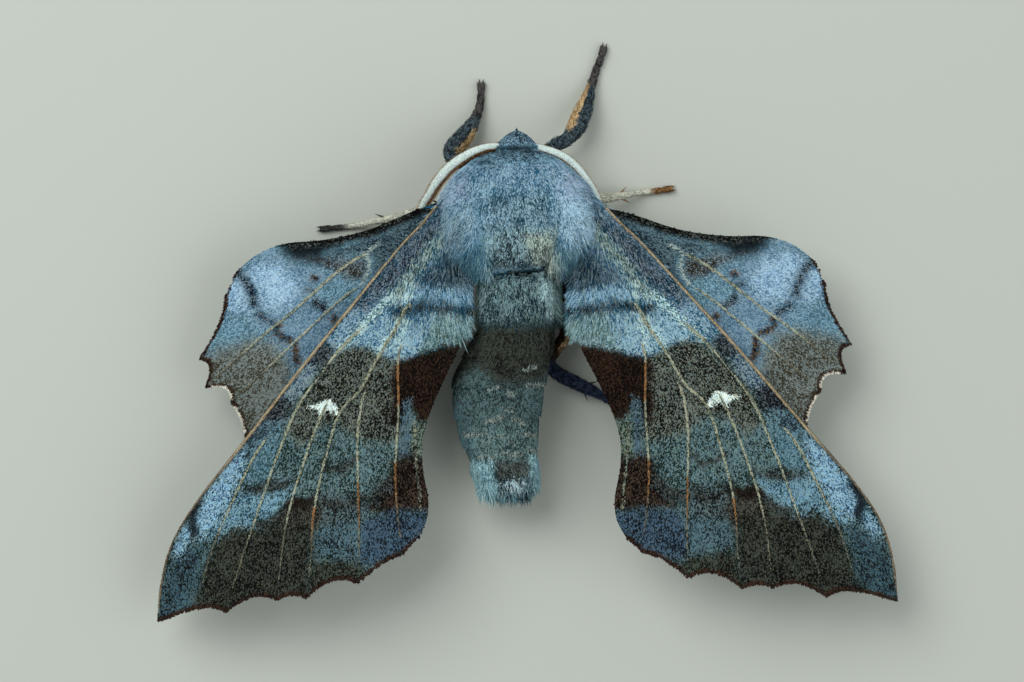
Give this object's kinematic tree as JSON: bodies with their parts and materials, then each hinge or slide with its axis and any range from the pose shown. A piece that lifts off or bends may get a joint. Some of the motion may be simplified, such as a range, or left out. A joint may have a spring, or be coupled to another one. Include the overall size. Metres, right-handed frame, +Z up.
{
  "type": "poplar hawk moth",
  "caption": "Life-size resting hawk moth with four scalloped wings spread flat, furry body, curved antennae and six legs on the floor, as a museum-style model.",
  "frame": {"origin": "on the floor under the centre of the moth's bounding box", "axes": "+X to the moth's right, +Y forwards towards its head, +Z up from the floor"},
  "size_m": [0.0577, 0.0448, 0.0106],
  "materials": {
    "body_fur": "dense short blue-grey fur",
    "forewing": "matt wing scales, blue-grey and dark brown bands",
    "hindwing": "matt wing scales, lilac-grey with brown edges",
    "antenna": "matt cream scales, orange-brown beneath",
    "leg": "dark blue-grey scales and short fur",
    "eye": "smooth dark compound eye"
  },
  "bodies": {
    "root": {"thorax": "body_fur", "head": "body_fur", "abdomen": "body_fur", "eye_left": "eye", "eye_right": "eye", "antenna_left": "antenna", "antenna_right": "antenna", "forewing_left": "forewing", "forewing_right": "forewing", "hindwing_left": "hindwing", "hindwing_right": "hindwing", "leg_fore_left": "leg", "leg_fore_right": "leg", "leg_mid_left": "leg", "leg_mid_right": "leg", "leg_hind_left": "leg", "leg_hind_right": "leg"}
  },
  "joints": []
}
